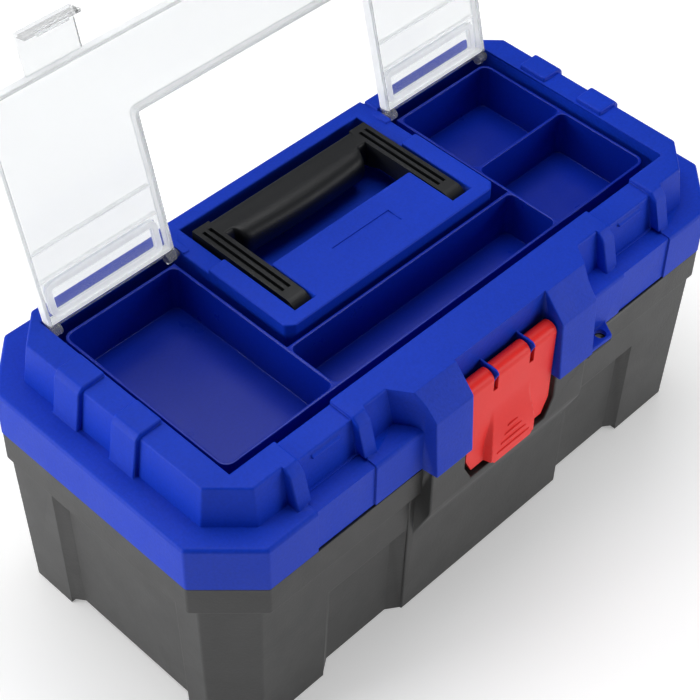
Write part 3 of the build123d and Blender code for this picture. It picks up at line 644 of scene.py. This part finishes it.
def grip_line(z, half_length):
    """One raised grip line across the thumb pad, centred on its face at height z.

    With u along it and a round it, x = half sin u, and the section shrinks as cos u to the power 0.4."""
    rows, columns = 28, 16
    u = np.linspace(-math.pi / 2, math.pi / 2, rows)[:, None]
    a = np.linspace(0.0, 2 * math.pi, columns, endpoint=False)[None, :]
    size = np.maximum(np.cos(u), 1e-4) ** 0.4
    y = PLATE_Y - pad_swell(z) - LINE_PROUD * size * np.cos(a)
    height = z + LINE_HALF * size * np.sin(a)
    x = np.broadcast_to(half_length * np.sin(u), y.shape)
    return np.stack([x, y, height], axis=-1), grid_quads(rows, columns, False, True)


class TOOLBOX_OT_latch(bpy.types.Operator):
    """Makes the red latch, rolled over its rod, with grip lines on the thumb pad"""
    bl_idname = "toolbox.latch"
    bl_label = "Latch"

    def execute(self, context):
        plastic = moulded_plastic("red latch plastic", colours().latch, 0.03, 0.42, 0.12, 0.25)
        points, quads = latch_sheet()
        latch = mesh_object("latch_plate", points * MM, quads)
        wall = latch.modifiers.new("wall", "SOLIDIFY")
        wall.thickness = PLATE_WALL * MM
        wall.offset = 1.0 if latch.data.polygons[0].normal.y > 0.0 else -1.0
        soften(latch, sizes().latch_edge, 2, 50.0)
        place(latch, "latch", "latch_plastic", plastic, "latch")
        points, quads = joined([grip_line(z, half) for z, half in GRIP_LINES])
        grips = face_outwards(mesh_object("latch_grip_lines", points * MM, quads))
        place(grips, "latch", "latch_plastic", plastic)
        return {"FINISHED"}


class TOOLBOX_OT_metal(bpy.types.Operator):
    """Gives the latch rod and the pins their steel finishes"""
    bl_idname = "toolbox.metal"
    bl_label = "Rod and pins"

    def execute(self, context):
        black = steel("blackened steel", (0.035, 0.035, 0.038), 0.34)
        bright = steel("bright steel", (0.62, 0.62, 0.63), 0.26)
        for node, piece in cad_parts.items():
            if "rod" in node or "pin" in node:
                piece.data.materials.clear()
                piece.data.materials.append(black if "rod" in node else bright)
        return {"FINISHED"}


# ---- stage -----------------------------------------------------------------------------------
def soft_light(name, width, height, power, position, target):
    """A large rectangular light aimed at a point."""
    data = bpy.data.lights.new(name, "AREA")
    data.shape = "RECTANGLE"
    data.size, data.size_y = width, height
    data.energy = power
    light = bpy.data.objects.new(name, data)
    bpy.context.scene.collection.objects.link(light)
    light.location = position
    light.rotation_euler = (Vector(target) - Vector(position)).to_track_quat("-Z", "Y").to_euler()


def camera_turn(azimuth, elevation, roll):
    """Rotation whose columns are the camera's right, up and backward directions."""
    right = Vector((math.cos(azimuth), math.sin(azimuth), 0.0))
    back = Vector((math.sin(azimuth) * math.cos(elevation), -math.cos(azimuth) * math.cos(elevation),
                   math.sin(elevation)))
    up = back.cross(right)
    rolled_right = right * math.cos(roll) + up * math.sin(roll)
    rolled_up = up * math.cos(roll) - right * math.sin(roll)
    return Matrix((rolled_right, rolled_up, back)).transposed()


CAMERA_PLACE = (-0.5292, -0.4944, 0.8622)
CAMERA_SHIFT = (-0.0913, 0.009)
FLOOR_HALF, WALL_HEIGHT, WALL_BEND = 4.0, 3.0, 1.0
OVERHEAD_AIM, SIDE_AIM = (0.0, 0.0, 0.15), (0.0, 0.0, 0.1)


def studio_surface():
    """A floor that bends up into a wall behind: along the bend, run = half + bend sin a and
    height = bend (1 - cos a)."""
    across = np.linspace(-FLOOR_HALF, FLOOR_HALF, 3)
    turn = np.linspace(0.0, math.pi / 2, 12)
    run = np.concatenate([[-FLOOR_HALF], FLOOR_HALF + WALL_BEND * np.sin(turn), [FLOOR_HALF + WALL_BEND]])
    height = np.concatenate([[0.0], WALL_BEND * (1.0 - np.cos(turn)), [WALL_HEIGHT]])
    x, y = np.meshgrid(across, run)
    z = np.broadcast_to(height[:, None], x.shape)
    return np.stack([x, y, z], axis=-1), grid_quads(len(run), len(across))


def floor_finish():
    """Plain pale card, a little luminous so that it stays near white under the shade."""
    finish, _, shader = new_finish("pale floor")
    shader.inputs["Base Color"].default_value = (0.92, 0.92, 0.92, 1.0)
    shader.inputs["Roughness"].default_value = 0.8
    shader.inputs["Specular IOR Level"].default_value = 0.1
    shader.inputs["Emission Color"].default_value = (1.0, 1.0, 1.0, 1.0)
    shader.inputs["Emission Strength"].default_value = 0.34
    return finish


class TOOLBOX_OT_stage(bpy.types.Operator):
    """Makes the floor, the lights and the camera"""
    bl_idname = "toolbox.stage"
    bl_label = "Stage"

    def execute(self, context):
        scene = context.scene
        settings = scene.toolbox_stage
        floor = mesh_object("studio_floor", *studio_surface())
        floor.data.materials.append(floor_finish())

        world = bpy.data.worlds.new("studio")
        world.use_nodes = True
        background = world.node_tree.nodes["Background"]
        background.inputs["Color"].default_value = (1.0, 1.0, 1.0, 1.0)
        background.inputs["Strength"].default_value = settings.sky
        scene.world = world

        soft_light("overhead", 1.6, 1.2, settings.key_power, (0.15, 0.35, 1.7), OVERHEAD_AIM)
        soft_light("left", 0.9, 0.8, settings.left_power, (-1.4, 0.75, 0.50), SIDE_AIM)
        soft_light("front", 0.9, 0.7, settings.front_power, (1.05, -1.35, 0.55), SIDE_AIM)

        lens = bpy.data.cameras.new("camera")
        lens.lens = settings.lens
        lens.sensor_width = 36.0
        lens.shift_x, lens.shift_y = CAMERA_SHIFT
        lens.clip_end = 20.0
        camera = bpy.data.objects.new("camera", lens)
        scene.collection.objects.link(camera)
        turned = camera_turn(settings.azimuth, settings.elevation, settings.roll).to_4x4()
        camera.matrix_world = Matrix.Translation(CAMERA_PLACE) @ turned
        scene.camera = camera
        scene.view_settings.view_transform = "Standard"
        return {"FINISHED"}


OPERATORS = (TOOLBOX_OT_base, TOOLBOX_OT_lid, TOOLBOX_OT_organiser, TOOLBOX_OT_cover, TOOLBOX_OT_handle,
             TOOLBOX_OT_latch, TOOLBOX_OT_metal, TOOLBOX_OT_stage)


class TOOLBOX_PT_pieces(bpy.types.Panel):
    """The toolbox's pieces and settings"""
    bl_idname = "TOOLBOX_PT_pieces"
    bl_label = "Toolbox"
    bl_space_type = "VIEW_3D"
    bl_region_type = "UI"
    bl_category = "Toolbox"

    def draw(self, context):
        layout = self.layout
        scene = context.scene
        for group in (scene.toolbox_sizes, scene.toolbox_colours, scene.toolbox_stage):
            box = layout.box()
            for name in group.__annotations__:
                box.prop(group, name)
        for operator in OPERATORS:
            layout.operator(operator.bl_idname)


CLASSES = (ToolboxSizes, ToolboxColours, ToolboxStage, *OPERATORS, TOOLBOX_PT_pieces)


def register():
    for item in CLASSES:
        bpy.utils.register_class(item)
    bpy.types.Scene.toolbox_sizes = bpy.props.PointerProperty(type=ToolboxSizes)
    bpy.types.Scene.toolbox_colours = bpy.props.PointerProperty(type=ToolboxColours)
    bpy.types.Scene.toolbox_stage = bpy.props.PointerProperty(type=ToolboxStage)


def unregister():
    del bpy.types.Scene.toolbox_stage
    del bpy.types.Scene.toolbox_colours
    del bpy.types.Scene.toolbox_sizes
    for item in reversed(CLASSES):
        bpy.utils.unregister_class(item)


def main():
    register()
    for operator in OPERATORS:
        group, name = operator.bl_idname.split(".")
        getattr(getattr(bpy.ops, group), name)()


if __name__ == "__main__":
    main()
